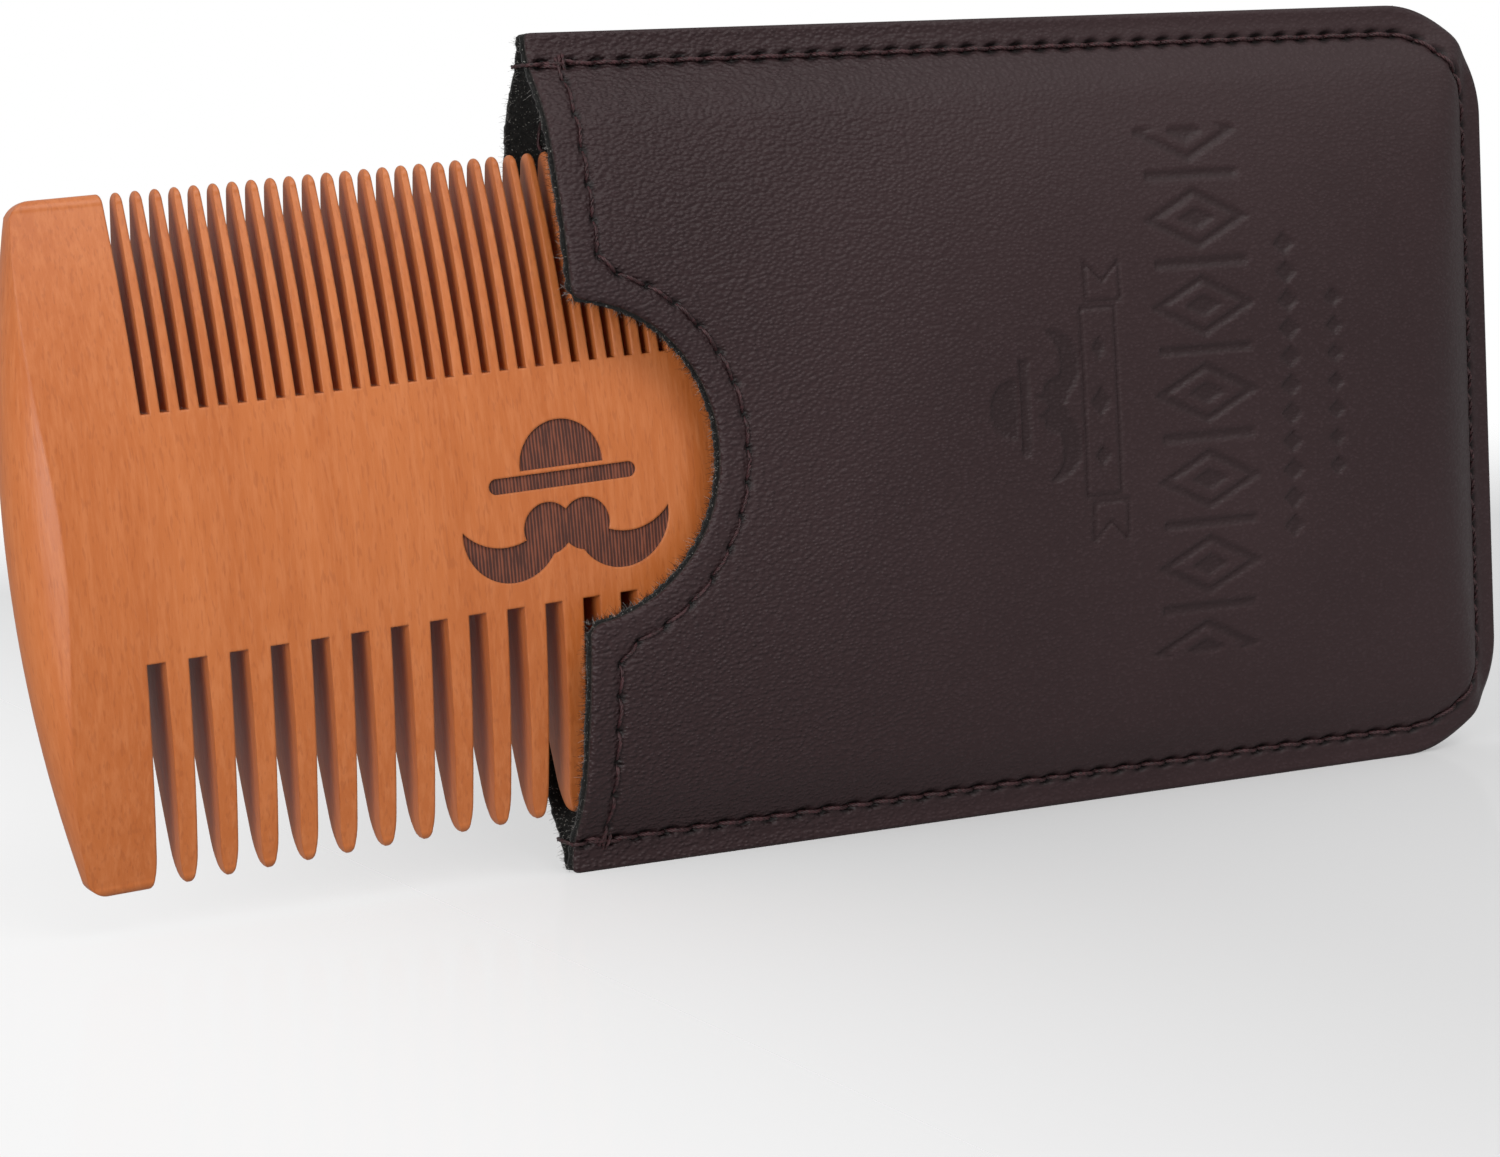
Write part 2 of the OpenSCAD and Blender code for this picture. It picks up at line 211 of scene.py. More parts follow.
def closed_sheet(lines_x, lines_z, notched, outer, inner, side, fray=0.0):
    """A thin closed sheet over the outline: its points, faces and the kind of each
    face, which is 0 outside, 1 inside and 2 on the cut edge. outer and inner give
    the distance of a surface from the middle plane."""
    x, z = np.meshgrid(lines_x, lines_z, indexing="ij")
    reach = inside_by(x, z, notched)
    kept_point = reach > -0.12
    cell = kept_point[:-1, :-1] & kept_point[1:, :-1] & kept_point[:-1, 1:] & kept_point[1:, 1:]
    around = np.zeros(x.shape, int)
    for i in (0, 1):
        for j in (0, 1):
            around[i : i + cell.shape[0], j : j + cell.shape[1]] += cell
    edge = (around > 0) & (around < 4)
    x, z = snap_to_outline(x, z, edge, notched)
    if fray:
        x, z = frayed(x, z, edge, notched, fray)
    reach = np.maximum(inside_by(x, z, notched), 0)
    used = around > 0
    number = np.cumsum(used).reshape(used.shape) - 1
    count = int(used.sum())
    flat = [side * outer(x, z, reach)[used], side * inner(x, z, reach)[used]]
    points = np.concatenate(
        [np.stack([x[used] + MOUTH_X, depth, z[used]], axis=1) for depth in flat]
    )
    quads = np.stack(
        [number[:-1, :-1][cell], number[1:, :-1][cell], number[1:, 1:][cell], number[:-1, 1:][cell]],
        axis=1,
    )
    if side == BACK:
        quads = quads[:, ::-1]
    start, end = quads.ravel(), np.roll(quads, -1, axis=1).ravel()
    open_edge = ~np.isin(start * count + end, end * count + start)
    start, end = start[open_edge], end[open_edge]
    rim = np.stack([end, start, start + count, end + count], axis=1)
    faces = np.concatenate([quads, quads[:, ::-1] + count, rim])
    kinds = np.repeat([0, 1, 2], [len(quads), len(quads), len(rim)])
    return points, faces, kinds


def make_piece(name, points, faces, materials, body, kinds=None):
    """A mesh object from points in millimetres, riding on a body."""
    mesh = bpy.data.meshes.new(name)
    faces = faces.tolist() if isinstance(faces, np.ndarray) else faces
    mesh.from_pydata((points * MM).tolist(), [], faces)
    for material in materials:
        mesh.materials.append(material)
    if kinds is not None:
        mesh.polygons.foreach_set("material_index", np.asarray(kinds, np.int32))
    mesh.polygons.foreach_set("use_smooth", np.ones(len(mesh.polygons), bool))
    mesh.update()
    piece = bpy.data.objects.new(name, mesh)
    bpy.context.scene.collection.objects.link(piece)
    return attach(piece, body)


# ---------- seams ----------


def perimeter_holes():
    """Needle holes of the seam round the sleeve, from the top of the mouth to its foot."""
    start = THREAD_D * 2
    side_run = LENGTH - CORNER_R - start
    turn_r = CORNER_R - SEAM_INSET
    turn_run = turn_r * math.pi / 2
    total = 2 * (side_run + turn_run) + HEIGHT - 2 * CORNER_R
    count = round(total / PERIMETER_STITCH)
    holes = []
    for run in np.linspace(0, total, count + 1):
        s = min(run, total - run)
        if s < side_run:
            x, z = start + s, HEIGHT - SEAM_INSET
        elif s < side_run + turn_run:
            turn = (s - side_run) / turn_r
            x = LENGTH - CORNER_R + turn_r * math.sin(turn)
            z = HEIGHT - CORNER_R + turn_r * math.cos(turn)
        else:
            x, z = LENGTH - SEAM_INSET, HEIGHT - CORNER_R - (s - side_run - turn_run)
        holes.append((x, z if run <= total / 2 else HEIGHT - z))
    return np.array(holes)


def notch_holes():
    """Needle holes of the seam along the mouth of the front panel, round the notch."""
    foot = SEAM_INSET + CROSSING_GAP
    leg = MIDDLE - MOUTH_SEAM_R * math.cos(MOUTH_SEAM_TURN) - foot
    turn_run = MOUTH_SEAM_R * (math.pi - 2 * MOUTH_SEAM_TURN)
    total = 2 * leg + turn_run
    count = round(total / MOUTH_STITCH)
    holes = []
    for s in np.linspace(0, total, count + 1):
        if s < leg:
            holes.append((SEAM_INSET, foot + s))
        elif s < leg + turn_run:
            turn = MOUTH_SEAM_TURN + (s - leg) / MOUTH_SEAM_R
            x = NOTCH_X + MOUTH_SEAM_R * math.sin(turn)
            holes.append((x, MIDDLE - MOUTH_SEAM_R * math.cos(turn)))
        else:
            holes.append((SEAM_INSET, HEIGHT - foot - (total - s)))
    return np.array(holes)


def straight_holes():
    """Needle holes of the straight seam along the mouth of the back panel."""
    foot = SEAM_INSET + CROSSING_GAP
    count = round((HEIGHT - 2 * foot) / MOUTH_STITCH)
    return np.array([(SEAM_INSET, z) for z in np.linspace(foot, HEIGHT - foot, count + 1)])


def seam_distances(x, z, holes):
    """Distance of each point from a seam's thread and from its nearest slanted hole."""
    groove = np.full(x.shape, 9.0)
    dimple = np.full(x.shape, 9.0)
    for i, (hole_x, hole_z) in enumerate(holes):
        near = (np.abs(x - hole_x) < 5) & (np.abs(z - hole_z) < 5)
        px, pz = x[near] - hole_x, z[near] - hole_z
        step_x, step_z = holes[i + 1] - holes[i] if i + 1 < len(holes) else holes[i] - holes[i - 1]
        run = (px * step_x + pz * step_z) / math.hypot(step_x, step_z)
        across = (pz * step_x - px * step_z) / math.hypot(step_x, step_z)
        slanted = np.hypot((run - 0.5 * across) / 1.25, across / 0.85)
        dimple[near] = np.minimum(dimple[near], slanted)
        if i + 1 < len(holes):
            t = np.clip((px * step_x + pz * step_z) / (step_x**2 + step_z**2), 0, 1)
            off = np.hypot(px - t * step_x, pz - t * step_z)
            groove[near] = np.minimum(groove[near], off)
    return groove, dimple


def seam_relief(x, z, holes, hole_r):
    """How far a seam pulls the leather in: a groove with a dimple at every hole."""
    groove, dimple = seam_distances(x, z, holes)
    groove_depth = 0.20 * np.exp(-((groove / 0.5) ** 2))
    return groove_depth + 0.9 * hole_r * np.exp(-((dimple / hole_r) ** 3))


def back_tacks():
    """Short stitches over each other where the mouth seam meets the perimeter seam."""
    x, edge = SEAM_INSET, SEAM_INSET
    steps = [
        ((x, edge + 1.9), (x - 0.5, edge - 1.3)),
        ((x + 0.35, edge - 1.5), (x + 0.5, edge + 1.0)),
        ((x - 0.3, edge + 1.6), (x + 0.2, edge - 1.7)),
        ((x - 1.9, edge + 0.3), (x + 0.3, edge + 0.25)),
        ((x - 0.1, edge - 0.3), (x + 2.3, edge - 0.1)),
    ]
    low = [(np.array(a), np.array(b)) for a, b in steps]
    high = [(np.array((a[0], HEIGHT - a[1])), np.array((b[0], HEIGHT - b[1]))) for a, b in low]
    return low + high


def tube(path, radius, sides):
    """Points and faces of a closed tube along path."""
    tangent = np.gradient(path, axis=0)
    tangent /= np.linalg.norm(tangent, axis=1)[:, None]
    helper = np.array([0.31, 0.2, 0.93])
    normal = np.cross(tangent, helper)
    normal /= np.linalg.norm(normal, axis=1)[:, None]
    binormal = np.cross(tangent, normal)
    turn = np.arange(sides) * 2 * math.pi / sides
    ring = np.cos(turn)[None, :, None] * normal[:, None] + np.sin(turn)[None, :, None] * binormal[:, None]
    radius = np.broadcast_to(radius, len(path))[:, None, None]
    points = (path[:, None] + ring * radius).reshape(-1, 3)
    faces = []
    for i in range(len(path) - 1):
        for j in range(sides):
            k = (j + 1) % sides
            low, high = i * sides, (i + 1) * sides
            faces.append((low + j, low + k, high + k, high + j))
    last = (len(path) - 1) * sides
    faces.append(tuple(range(sides))[::-1])
    faces.append(tuple(last + j for j in range(sides)))
    return points, faces


def gather(parts):
    """Several sets of points and faces as one."""
    points, faces, count = [], [], 0
    for part_points, part_faces in parts:
        points.append(part_points)
        faces += [tuple(i + count for i in face) for face in part_faces]
        count += len(part_points)
    return np.concatenate(points), faces


def twisted(path, diameter):
    """Three plies twisted round a path."""
    tangent = np.gradient(path, axis=0)
    tangent /= np.linalg.norm(tangent, axis=1)[:, None]
    helper = np.array([0.31, 0.2, 0.93])
    normal = np.cross(tangent, helper)
    normal /= np.linalg.norm(normal, axis=1)[:, None]
    binormal = np.cross(tangent, normal)
    run = np.concatenate([[0], np.cumsum(np.linalg.norm(np.diff(path, axis=0), axis=1))])
    ply_r = diameter * 0.27
    parts = []
    for ply in range(3):
        turn = run / 1.5 * 2 * math.pi + ply * 2 * math.pi / 3
        offset = np.cos(turn)[:, None] * normal + np.sin(turn)[:, None] * binormal
        parts.append(tube(path + offset * diameter * 0.23, ply_r, 6))
    return parts


def stitch_path(start, end, depth, side, lean=0.0):
    """Line of one stitch: up out of a hole, over the surface and down into the next."""
    s = np.linspace(0, 1, 15)
    t = (1 - np.cos(math.pi * s)) / 2
    step = end - start
    across = np.array([-step[1], step[0]]) / max(np.linalg.norm(step), 1e-6)
    flat = start + t[:, None] * step + across * (lean * np.sin(2 * math.pi * t))[:, None]
    lift = 0.02 - 1.1 * np.abs(2 * t - 1) ** 2.8
    height = depth(flat[:, 0], flat[:, 1], side) + lift
    return np.stack([flat[:, 0] + MOUTH_X, side * height, flat[:, 1]], axis=1)


def wrap_path(hole, side):
    """Line of the stitch that ends a seam: from its last hole over the mouth edge."""
    x, z = hole
    top = float(skin(np.array(x), np.array(z), side))
    line = [
        (x, top - 0.5), (x - 0.1, top - 0.05), (x - 0.5, top + 0.08), (0.1, top + 0.04),
        (-0.25, top - 0.25), (-0.33, top * 0.5), (-0.33, 0.0),
    ]
    return np.array([(px + MOUTH_X, side * py, z) for px, py in line])


def sew(name, holes, depth, side, material, body, diameter, wrapped=False, tacks=()):
    """One side of a seam as a piece that stands for its CAD thread."""
    stitches = [stitch_path(a, b, depth, side, 0.06) for a, b in zip(holes[:-1], holes[1:])]
    stitches += [stitch_path(a, b, depth, side, 0.1) for a, b in tacks]
    if wrapped:
        stitches += [wrap_path(holes[0], side), wrap_path(holes[-1], side)]
    parts = [part for path in stitches for part in twisted(path, diameter)]
    points, faces = gather(parts)
    piece = make_piece(name + "_stitches", points, faces, [material], body)
    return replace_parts(piece, name)


# ---------- pressed ornament ----------


def disc(p, q, centre_p, centre_q, radius):
    return np.hypot(p - centre_p, q - centre_q) - radius


def block(p, q, centre_p, centre_q, half_p, half_q):
    return np.maximum(np.abs(p - centre_p) - half_p, np.abs(q - centre_q) - half_q)


def lozenge(p, q, centre_p, centre_q, half_p, half_q):
    share = np.abs(p - centre_p) / half_p + np.abs(q - centre_q) / half_q - 1
    return share * half_p * half_q / math.hypot(half_p, half_q)


def outlined(distance, width):
    """A line of the given width just inside the edge of a shape."""
    return np.maximum(distance, -distance - width)


def hat_and_moustache(p, q, size):
    """The comb's engraved motif again: below 0 inside it."""
    p, q = np.abs(p) / size, q / size
    lip = np.maximum(disc(p, q, 0.267, -0.12, 0.233), -disc(p, q, 0.295, 0.02, 0.225))
    shape = np.minimum(lip, disc(p, q, 0.085, -0.16, 0.1))
    shape = np.minimum(shape, block(p, q, 0, 0.085, 0.32, 0.035))
    crown = np.maximum(disc(p, q, 0, 0.15, 0.2), 0.14 - q)
    return np.minimum(shape, crown) * size


def ribbon(p, q):
    """A banner with forked tails and three lozenges on it."""
    body = outlined(block(p, q, 0, 0, 9.6, 2.2), 0.4)
    across = np.abs(p)
    tail = np.maximum(block(across, q, 11.6, -0.8, 2.6, 2.2), 9.8 - across)
    fork = np.abs(q + 0.8) - (across - 12.2)
    tail = outlined(np.maximum(tail, -fork), 0.4)
    marks = lozenge(p, q, 0, 0, 1.5, 1.2)
    for place in (-5.4, 5.4):
        marks = np.minimum(marks, lozenge(p, q, place, 0, 1.1, 0.9))
    return np.minimum(np.minimum(body, tail), marks)


def lattice(p, q):
    """A tall band of lozenges between pairs of bars."""
    pitch = 8.8
    cell = p - pitch * np.round(p / pitch)
    tall = outlined(lozenge(cell, q, 0, 0, 3.1, 6.4), 0.75)
    heart = lozenge(cell, q, 0, 0, 1.1, 2.3)
    bars = block(np.abs(cell), q, pitch / 2, 0, 0.45, 5.6)
    band = np.minimum(np.minimum(tall, heart), bars)
    return np.maximum(band, np.abs(p) - 3.05 * pitch)


def small_row(p, q, pitch, count, half):
    """A row of small lozenges."""
    cell = p - pitch * np.round(p / pitch)
    return np.maximum(lozenge(cell, q, 0, 0, half, half * 1.15), np.abs(p) - count / 2 * pitch)


def pressed(x, z):
    """How far the ornament is pressed in, from 0 to 1. It reads upwards."""
    p = z - 41.5
    shapes = [
        hat_and_moustache(p, 49.0 - x, 15.0),
        ribbon(p, 56.6 - x),
        lattice(p, 69.3 - x),
        small_row(p, 79.6 - x, 2.9, 11, 1.15),
        small_row(p, 85.2 - x, 2.9, 7, 0.95),
    ]
    nearest = np.minimum.reduce(shapes)
    return smooth_step(-nearest, -0.10, 0.14)


# ---------- pieces of the sleeve ----------


def worn(x, z):
    """The slow unevenness of a hand-made panel."""
    return 0.10 * np.sin(x / 13.0 + 0.7) * np.sin(z / 11.0) + 0.06 * np.sin(z / 4.3 + x / 9.0)


def surface(x, z, side):
    return skin(x, z, side) + worn(x, z) * smooth_step(inside_by(x, z, False), 3.2, 12)


def rounded_off(reach, radius):
    """How much a cut edge is rounded down at a distance reach from it."""
    left = np.clip(1 - reach / radius, 0, 1)
    return radius * (1 - np.sqrt(1 - left * left * 0.98))


def mark_painted_shade(piece, seams, ornament):
    """Stores how deep each point of a panel lies in a hole or in the ornament, as painted shade: the
    leather is coloured near-black in the holes and darker in the ornament.
    """
    count = len(piece.data.vertices)
    co = np.zeros(count * 3, np.float32)
    piece.data.vertices.foreach_get("co", co)
    x, z = co[0::3] / MM - MOUTH_X, co[2::3] / MM
    painted_shade = np.zeros(count)
    for holes, hole_r in seams:
        _, dimple = seam_distances(x, z, holes)
        painted_shade = np.maximum(painted_shade, np.exp(-((dimple / (1.1 * hole_r)) ** 6)))
    if ornament:
        painted_shade = np.maximum(painted_shade, ORNAMENT_PAINTED_SHADE * pressed(x, z))
    attribute = piece.data.attributes.new("pressed", "FLOAT", "POINT")
    attribute.data.foreach_set("value", painted_shade.astype(np.float32))


def leather_sheet(name, notched, seams, ornament, lines_x, lines_z, side, materials):
    """One leather panel with its seams pressed in."""

    def outer(x, z, reach):
        depth = surface(x, z, side) - rounded_off(reach, 0.28)
        for holes, hole_r in seams:
            depth = depth - seam_relief(x, z, holes, hole_r)
        return depth - ORNAMENT_DEPTH * pressed(x, z) if ornament else depth

    def inner(x, z, reach):
        return surface(x, z, side) - LEATHER_T + rounded_off(reach, 0.1)

    sheet = closed_sheet(lines_x, lines_z, notched, outer, inner, side)
    points, faces, kinds = sheet
    leather, cut_edge = materials
    piece = make_piece(name, points, faces, [leather, cut_edge], "sleeve", kinds > 0)
    mark_painted_shade(piece, seams, ornament)
    return piece


def felt_sheet(name, notched, lines_x, lines_z, side, material):
    """One felt lining, a little swollen where nothing presses on it."""

    def outer(x, z, reach):
        return surface(x, z, side) - LEATHER_T - 0.01

    def inner(x, z, reach):
        loft = 0.12 * smooth_step(skin(x, z, side), WALL_T + 0.6, WALL_T + 2.5)
        wool = 0.05 * np.sin(x * 3.1 + z * 1.7) * np.sin(z * 2.6 - x * 1.1)
        depth = surface(x, z, side) - WALL_T - loft * (1 + wool) + rounded_off(reach, 0.25)
        return np.maximum(depth, 0.01)

    points, faces, _ = closed_sheet(lines_x, lines_z, notched, outer, inner, side, fray=0.1)
    piece = make_piece(name, points, faces, [material], "sleeve")
    return piece


def mouth_line(notched):
    """Points along the mouth edge, with the direction that faces out of the panel."""
    if not notched:
        z = np.linspace(0.4, HEIGHT - 0.4, 400)
        return np.stack([z * 0, z], axis=1), np.tile([-1.0, 0.0], (400, 1))
    low = np.linspace(0.4, MIDDLE - NOTCH_R - 0.3, 120)
    corner = math.asin(-NOTCH_X / NOTCH_R)
    turn = np.linspace(corner, math.pi - corner, 260)
    lines = [
        np.stack([low * 0, low], axis=1),
        np.stack([NOTCH_X + NOTCH_R * np.sin(turn), MIDDLE - NOTCH_R * np.cos(turn)], axis=1),
        np.stack([low * 0, HEIGHT - low], axis=1),
    ]
    outwards = [
        np.tile([-1.0, 0.0], (120, 1)),
        np.stack([-np.sin(turn), np.cos(turn)], axis=1),
        np.tile([-1.0, 0.0], (120, 1)),
    ]
    return np.concatenate(lines), np.concatenate(outwards)


def felt_fuzz(name, notched, side, count, materials):
    """Loose fibres along the cut edge of a lining."""
    line, outwards = mouth_line(notched)
    parts, kinds = [], []
    for _ in range(count):
        i = random.integers(len(line))
        root = line[i] - outwards[i] * random.uniform(0, 0.15)
        depth = float(skin(*np.maximum(root, 0.01), side)) - LEATHER_T - random.uniform(0.05, 0.75)
        base = np.array([root[0] + MOUTH_X, side * max(depth, 0.1), root[1]])
        out = np.array([outwards[i][0], side * random.uniform(-0.5, 0.1), outwards[i][1]])
        curl = random.normal(0, 0.55, 3)
        length = random.uniform(0.2, 0.65)
        t = np.linspace(0, 1, 4)[:, None]
        path = base + (out * t + curl * t * t * 0.8) * length
        parts.append(tube(path, np.linspace(0.022, 0.008, 4), 3))
        kinds += [int(random.random() < 0.16)] * len(parts[-1][1])
    points, faces = gather(parts)
    return make_piece(name, points, faces, materials, "sleeve", kinds)


# ---------- materials ----------


class Recipe:
    """A material's node tree, with short calls that add nodes and join them."""

    def __init__(self, name):
        self.material = bpy.data.materials.new(name)
        self.material.use_nodes = True
        self.tree = self.material.node_tree
        self.shader = self.tree.nodes["Principled BSDF"]
        self.place = self.add("ShaderNodeTexCoord").outputs["Object"]

    def add(self, kind, **settings):
        node = self.tree.nodes.new(kind)
        for key, value in settings.items():
            setattr(node, key, value)
        return node

    def put(self, socket, value):
        if isinstance(value, bpy.types.NodeSocket):
            self.tree.links.new(value, socket)
        else:
            socket.default_value = value

    def math(self, operation, a, b=0.0, clamp=False):
        node = self.add("ShaderNodeMath", operation=operation, use_clamp=clamp)
        self.put(node.inputs[0], a)
        self.put(node.inputs[1], b)
        return node.outputs[0]

    def stretched(self, scale, place=None):
        node = self.add("ShaderNodeMapping")
        self.put(node.inputs["Vector"], place or self.place)
        node.inputs["Scale"].default_value = scale
        return node.outputs[0]

    def noise(self, place, scale=1.0, detail=3.0, roughness=0.5):
        node = self.add("ShaderNodeTexNoise")
        self.put(node.inputs["Vector"], place)
        node.inputs["Scale"].default_value = scale
        node.inputs["Detail"].default_value = detail
        node.inputs["Roughness"].default_value = roughness
        return node.outputs["Fac"]

    def cells(self, place, scale, feature="F1"):
        node = self.add("ShaderNodeTexVoronoi", feature=feature)
        self.put(node.inputs["Vector"], place)
        node.inputs["Scale"].default_value = scale
        return node.outputs["Distance"]

    def between(self, value, low, high, to_low=0.0, to_high=1.0, smooth=True):
        kind = "SMOOTHSTEP" if smooth else "LINEAR"
        node = self.add("ShaderNodeMapRange", interpolation_type=kind)
        self.put(node.inputs["Value"], value)
        for key, number in zip(("From Min", "From Max", "To Min", "To Max"), (low, high, to_low, to_high)):
            node.inputs[key].default_value = number
        return node.outputs["Result"]

    def mix(self, share, a, b, blend="MIX"):
        node = self.add("ShaderNodeMix", data_type="RGBA", blend_type=blend)
        self.put(node.inputs["Factor"], share)
        for socket, value in ((node.inputs[6], a), (node.inputs[7], b)):
            self.put(socket, (*value, 1.0) if isinstance(value, tuple) else value)
        return node.outputs[2]

    def axes(self, place):
        node = self.add("ShaderNodeSeparateXYZ")
        self.put(node.inputs[0], place)
        return node.outputs

    def bump(self, height, distance, strength=1.0, before=None):
        node = self.add("ShaderNodeBump")
        self.put(node.inputs["Height"], height)
        node.inputs["Strength"].default_value = strength
        node.inputs["Distance"].default_value = distance
        if before is not None:
            self.put(node.inputs["Normal"], before)
        return node.outputs["Normal"]

    def finish(self, colour=None, roughness=None, normal=None, **fixed):
        for socket, value in (("Base Color", colour), ("Roughness", roughness), ("Normal", normal)):
            if value is not None:
                value = (*value, 1.0) if isinstance(value, tuple) else value
                self.put(self.shader.inputs[socket], value)
        for key, value in fixed.items():
            self.shader.inputs[key.replace("_", " ")].default_value = value
        return self.material


def pear_wood():
    """Fine-grained pear wood with the grain along the teeth, burnt where engraved."""
    r = Recipe("pear_wood")
    local = r.add("ShaderNodeMapping", vector_type="TEXTURE")
    r.put(local.inputs["Vector"], r.place)
    centre = (COMB_CENTRE + Vector((MOUTH_X, 0, 0))) * MM
    local.inputs["Location"].default_value = centre
    local.inputs["Rotation"].default_value = (0, -COMB_TILT, 0)
    local = local.outputs[0]
    across, through, along = r.axes(local)
    fibre = r.noise(r.stretched((1900, 1900, 210), local), detail=4.0, roughness=0.65)
    streak = r.noise(r.stretched((230, 230, 16), local), detail=3.0)
    cloud = r.noise(r.stretched((55, 40, 18), local), detail=2.0)
    pore = r.noise(r.stretched((3600, 3600, 700), local), detail=1.0)
    colour = r.mix(r.between(streak, 0.3, 0.7), (0.480, 0.131, 0.029), (0.540, 0.160, 0.041))
    colour = r.mix(r.between(cloud, 0.35, 0.7, 0.0, 0.5), colour, (0.435, 0.110, 0.022))
    colour = r.mix(r.between(fibre, 0.40, 0.70, 0.0, 0.40), colour, (0.62, 0.215, 0.075))
    colour = r.mix(r.between(pore, 0.56, 0.70, 0.0, 0.30), colour, (0.32, 0.078, 0.018))
    # Below the lens-shaped front face, and on the spine, lies what was burnt away
    lens = COMB_FACE_R - SPINE_HALF
    from_axis = r.math("SUBTRACT", through, lens * MM)
    through_squared = r.math("MULTIPLY", from_axis, from_axis)
    along_squared = r.math("MULTIPLY", along, along)
    reach = r.math("SQRT", r.math("ADD", through_squared, along_squared))
    deep = r.between(reach, (COMB_FACE_R - 0.06) * MM, (COMB_FACE_R - 0.19) * MM)
    front = r.math("LESS_THAN", through, 0.0)
    spine = r.math("LESS_THAN", r.math("ABSOLUTE", along), ENGRAVED_HALF_HEIGHT * MM)
    middle = r.math("LESS_THAN", r.math("ABSOLUTE", across), ENGRAVED_HALF_WIDTH * MM)
    burnt = r.math("MULTIPLY", r.math("MULTIPLY", deep, middle), r.math("MULTIPLY", front, spine))
    hatch = r.math("SINE", r.math("MULTIPLY", across, 2 * math.pi / (0.34 * MM)))
    ragged = r.noise(r.stretched((2600, 2600, 420), local), detail=3.0)
    lines = r.between(r.math("ADD", hatch, r.math("MULTIPLY", ragged, 4.5)), 1.4, 3.6)
    char = r.mix(lines, (0.050, 0.014, 0.009), (0.200, 0.055, 0.026))
    colour = r.mix(burnt, colour, char)
    rough = r.between(fibre, 0.2, 0.8, 0.38, 0.48, smooth=False)
    rough = r.math("ADD", rough, r.math("MULTIPLY", burnt, 0.3))
    grain = r.bump(fibre, 0.00004, 0.8)
    hatching = r.math("MULTIPLY", lines, burnt)
    grain = r.bump(hatching, 0.00006, 0.7, grain)
    edge = r.add("ShaderNodeBevel", samples=4)
    edge.inputs["Radius"].default_value = 0.00032
    r.put(edge.inputs["Normal"], grain)
    return r.finish(colour, rough, edge.outputs[0], Specular_IOR_Level=0.5)


def leather():
    """Dark brown leather, pebbled by the mouth and smoother towards the closed end, with painted shade in
    its needle holes and pressed ornament.
    """
    r = Recipe("leather")
    x, _, _ = r.axes(r.place)
    fade = r.between(x, -0.046, 0.022, 1.0, 0.22)
    pebble = r.cells(r.stretched((2100, 2100, 3300)), 1.0, "SMOOTH_F1")
    wrinkle = r.noise(r.stretched((900, 900, 2300)), detail=3.0, roughness=0.55)
    fine = r.noise(r.stretched((4200, 4200, 5200)), detail=2.0)
    blotch = r.noise(r.stretched((34, 34, 34)), detail=3.0)
    colour = r.mix(r.between(blotch, 0.3, 0.7), (0.0245, 0.0112, 0.0124), (0.0300, 0.0145, 0.0158))
    colour = r.mix(r.between(pebble, 0.0, 0.45, 0.35, 0.0), colour, (0.060, 0.036, 0.040))
    # Painted shade: near-black in the needle holes and darker in the pressed ornament, read from the
    # pressed attribute
    painted_shade = r.add("ShaderNodeAttribute", attribute_name="pressed").outputs["Fac"]
    colour = r.mix(painted_shade, colour, (0.0015, 0.0008, 0.0008))
    rough = r.between(wrinkle, 0.25, 0.75, 0.46, 0.58, smooth=False)
    rough = r.math("ADD", rough, r.math("MULTIPLY", r.math("SUBTRACT", blotch, 0.5), 0.12))
    height = r.math("SUBTRACT", r.math("MULTIPLY", wrinkle, 0.2), r.math("MULTIPLY", pebble, 1.0))
    coarse = r.add("ShaderNodeBump")
    r.put(coarse.inputs["Height"], height)
    r.put(coarse.inputs["Strength"], fade)
    coarse.inputs["Distance"].default_value = 0.00026
    normal = r.bump(fine, 0.00003, 0.6, coarse.outputs["Normal"])
    return r.finish(colour, rough, normal, Specular_IOR_Level=0.30)


def cut_leather():
    """The raw fibrous edge and the back of the leather."""
    r = Recipe("cut_leather")
    fibre = r.noise(r.stretched((2500, 5200, 2500)), detail=4.0, roughness=0.7)
    colour = r.mix(r.between(fibre, 0.3, 0.75), (0.010, 0.008, 0.008), (0.050, 0.040, 0.038))
    speck = r.noise(r.stretched((4200, 4200, 4200)), detail=1.0)
    colour = r.mix(r.between(speck, 0.62, 0.72, 0.0, 0.6), colour, (0.22, 0.20, 0.19))
    return r.finish(colour, 0.85, r.bump(fibre, 0.00010, 0.8), Specular_IOR_Level=0.3)


def felt():
    """Black wool felt with a few pale fibres in it."""
    r = Recipe("felt")
    wool = r.noise(r.stretched((1900, 1900, 1900)), detail=5.0, roughness=0.75)
    fleck = r.noise(r.stretched((5200, 5200, 5200)), detail=1.0)
    colour = r.mix(r.between(wool, 0.3, 0.7), (0.004, 0.004, 0.004), (0.016, 0.016, 0.015))
    colour = r.mix(r.between(fleck, 0.64, 0.74, 0.0, 0.7), colour, (0.26, 0.26, 0.24))
    return r.finish(colour, 0.97, r.bump(wool, 0.00022, 0.9), Specular_IOR_Level=0.15, Sheen_Weight=0.12)


def fibre(name, colour):
    r = Recipe(name)
    tone = r.noise(r.stretched((900, 900, 900)), detail=1.0)
    pale = tuple(min(1.0, c * 1.8) for c in colour)
    return r.finish(r.mix(tone, colour, pale), 0.8, Specular_IOR_Level=0.3)


def thread():
    """Waxed dark burgundy thread."""
    r = Recipe("sewing_thread")
    strand = r.noise(r.stretched((2600, 2600, 2600)), detail=3.0, roughness=0.7)
    colour = r.mix(r.between(strand, 0.3, 0.7), (0.012, 0.0045, 0.005), (0.060, 0.020, 0.023))
    return r.finish(colour, 0.55, r.bump(strand, 0.00004, 0.6), Specular_IOR_Level=0.4)


